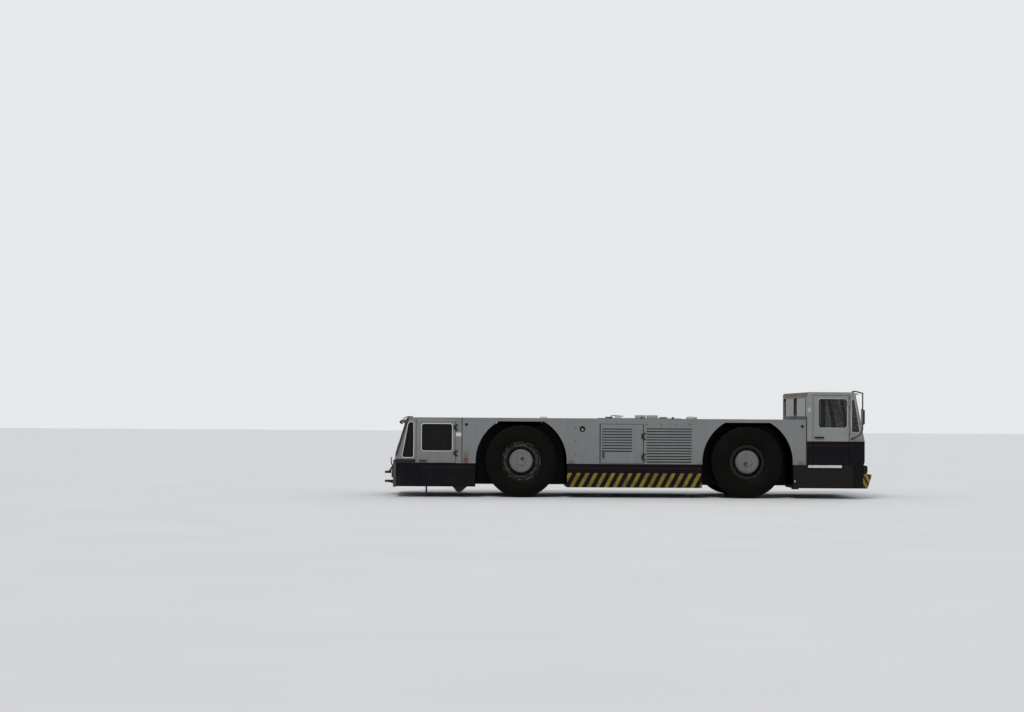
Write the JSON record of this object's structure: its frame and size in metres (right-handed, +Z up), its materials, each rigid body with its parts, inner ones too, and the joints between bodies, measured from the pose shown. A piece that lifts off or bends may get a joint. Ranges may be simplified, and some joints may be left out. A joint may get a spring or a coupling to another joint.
{
  "type": "aircraft pushback tractor",
  "caption": "Heavy aircraft pushback tractor with a low cab at one end, a raised cab at the other, steered wheels on both axles and towing jaws at both ends.",
  "frame": {"origin": "on the ground, at the middle of the overall box", "axes": "+X towards the raised cab, +Y towards the left side seen facing +X, +Z up"},
  "size_m": [9.98, 3.47, 2.212],
  "materials": {
    "frame_paint": "satin",
    "body_paint": "satin",
    "navy_paint": "satin",
    "black_paint": "matt",
    "jaw_paint": "worn",
    "white_paint": "satin",
    "rim_paint": "satin",
    "steel": "worn",
    "cast": "rough",
    "tyre": "matt",
    "window": "clear",
    "seat_cover": "matt",
    "trim": "matt",
    "lamp": "gloss"
  },
  "bodies": {
    "chassis": {"main_frame": "frame_paint", "axles": "cast", "prop_shafts": "steel", "engine": "cast", "side_plates": "body_paint", "wheel_arches": "black_paint", "deck": "body_paint", "sills": "navy_paint", "grilles": "body_paint", "fittings": "white_paint", "low_cab_base": "navy_paint", "low_cab_shell": "body_paint", "low_cab_glass": "window", "high_cab_base": "black_paint", "high_cab_shell": "body_paint", "high_cab_glass": "window", "seats": "seat_cover", "consoles": "trim", "tow_jaws": "jaw_paint", "mirrors": "black_paint", "lamps": "lamp", "steps": "black_paint"},
    "engine_hatch": {"engine_hatch": "body_paint"},
    "service_door_right": {"service_door_right": "body_paint"},
    "service_door_left": {"service_door_left": "body_paint"},
    "low_door_right": {"low_door_right": "body_paint", "low_door_right_glass": "window"},
    "low_door_left": {"low_door_left": "body_paint", "low_door_left_glass": "window"},
    "high_door_right": {"high_door_right": "body_paint", "high_door_right_glass": "window"},
    "high_door_left": {"high_door_left": "body_paint", "high_door_left_glass": "window"},
    "knuckle_front_right": {"knuckle_front_right": "cast"},
    "knuckle_front_left": {"knuckle_front_left": "cast"},
    "knuckle_rear_right": {"knuckle_rear_right": "cast"},
    "knuckle_rear_left": {"knuckle_rear_left": "cast"},
    "tie_rod_front": {"tie_rod_front": "steel"},
    "tie_rod_rear": {"tie_rod_rear": "steel"},
    "wheel_front_right": {"tyre_front_right": "tyre", "rim_front_right": "rim_paint"},
    "wheel_front_left": {"tyre_front_left": "tyre", "rim_front_left": "rim_paint"},
    "wheel_rear_right": {"tyre_rear_right": "tyre", "rim_rear_right": "rim_paint"},
    "wheel_rear_left": {"tyre_rear_left": "tyre", "rim_rear_left": "rim_paint"}
  },
  "joints": [
    {"name": "steer_front_right", "type": "hinge", "parent": "chassis", "child": "knuckle_front_right", "pos_m": [2.44, -1.01, 0.74], "axis": [0, 0, 1], "range_deg": [-28, 28]},
    {"name": "spin_front_right", "type": "hinge", "parent": "knuckle_front_right", "child": "wheel_front_right", "pos_m": [2.44, -1.23, 0.74], "axis": [0, 1, 0], "continuous": true},
    {"name": "steer_front_left", "type": "hinge", "parent": "chassis", "child": "knuckle_front_left", "pos_m": [2.44, 1.01, 0.74], "axis": [0, 0, 1], "range_deg": [-28, 28]},
    {"name": "spin_front_left", "type": "hinge", "parent": "knuckle_front_left", "child": "wheel_front_left", "pos_m": [2.44, 1.23, 0.74], "axis": [0, 1, 0], "continuous": true},
    {"name": "tie_rod_front", "type": "hinge", "parent": "knuckle_front_right", "child": "tie_rod_front", "pos_m": [2.69, -1.01, 0.68], "axis": [0, 0, 1], "range_deg": [-28, 28]},
    {"name": "steer_rear_right", "type": "hinge", "parent": "chassis", "child": "knuckle_rear_right", "pos_m": [-2.18, -1.01, 0.74], "axis": [0, 0, 1], "range_deg": [-28, 28]},
    {"name": "spin_rear_right", "type": "hinge", "parent": "knuckle_rear_right", "child": "wheel_rear_right", "pos_m": [-2.18, -1.23, 0.74], "axis": [0, 1, 0], "continuous": true},
    {"name": "steer_rear_left", "type": "hinge", "parent": "chassis", "child": "knuckle_rear_left", "pos_m": [-2.18, 1.01, 0.74], "axis": [0, 0, 1], "range_deg": [-28, 28]},
    {"name": "spin_rear_left", "type": "hinge", "parent": "knuckle_rear_left", "child": "wheel_rear_left", "pos_m": [-2.18, 1.23, 0.74], "axis": [0, 1, 0], "continuous": true},
    {"name": "tie_rod_rear", "type": "hinge", "parent": "knuckle_rear_right", "child": "tie_rod_rear", "pos_m": [-2.43, -1.01, 0.68], "axis": [0, 0, 1], "range_deg": [-28, 28]},
    {"name": "low_door_right_hinge", "type": "hinge", "parent": "chassis", "child": "low_door_right", "pos_m": [-3.513, -1.516, 1.15], "axis": [0, 0, 1], "range_deg": [0, 80]},
    {"name": "low_door_left_hinge", "type": "hinge", "parent": "chassis", "child": "low_door_left", "pos_m": [-3.513, 1.516, 1.15], "axis": [0, 0, -1], "range_deg": [0, 80]},
    {"name": "high_door_right_hinge", "type": "hinge", "parent": "chassis", "child": "high_door_right", "pos_m": [4.52, -1.516, 1.4], "axis": [0, 0, 1], "range_deg": [0, 80]},
    {"name": "high_door_left_hinge", "type": "hinge", "parent": "chassis", "child": "high_door_left", "pos_m": [4.52, 1.516, 1.4], "axis": [0, 0, -1], "range_deg": [0, 80]},
    {"name": "service_door_right_hinge", "type": "hinge", "parent": "chassis", "child": "service_door_right", "pos_m": [0.31, -1.516, 1.15], "axis": [0, 0, 1], "range_deg": [0, 80]},
    {"name": "service_door_left_hinge", "type": "hinge", "parent": "chassis", "child": "service_door_left", "pos_m": [0.31, 1.516, 1.15], "axis": [0, 0, -1], "range_deg": [0, 80]},
    {"name": "engine_hatch_hinge", "type": "hinge", "parent": "chassis", "child": "engine_hatch", "pos_m": [0.35, 0.632, 1.6393], "axis": [-1, 0, 0], "range_deg": [0, 70]}
  ],
  "couplings": [
    {"joint": "steer_front_left", "follows": "steer_front_right", "ratio": 1},
    {"joint": "tie_rod_front", "follows": "steer_front_right", "ratio": -1},
    {"joint": "steer_rear_left", "follows": "steer_rear_right", "ratio": 1},
    {"joint": "tie_rod_rear", "follows": "steer_rear_right", "ratio": -1}
  ]
}
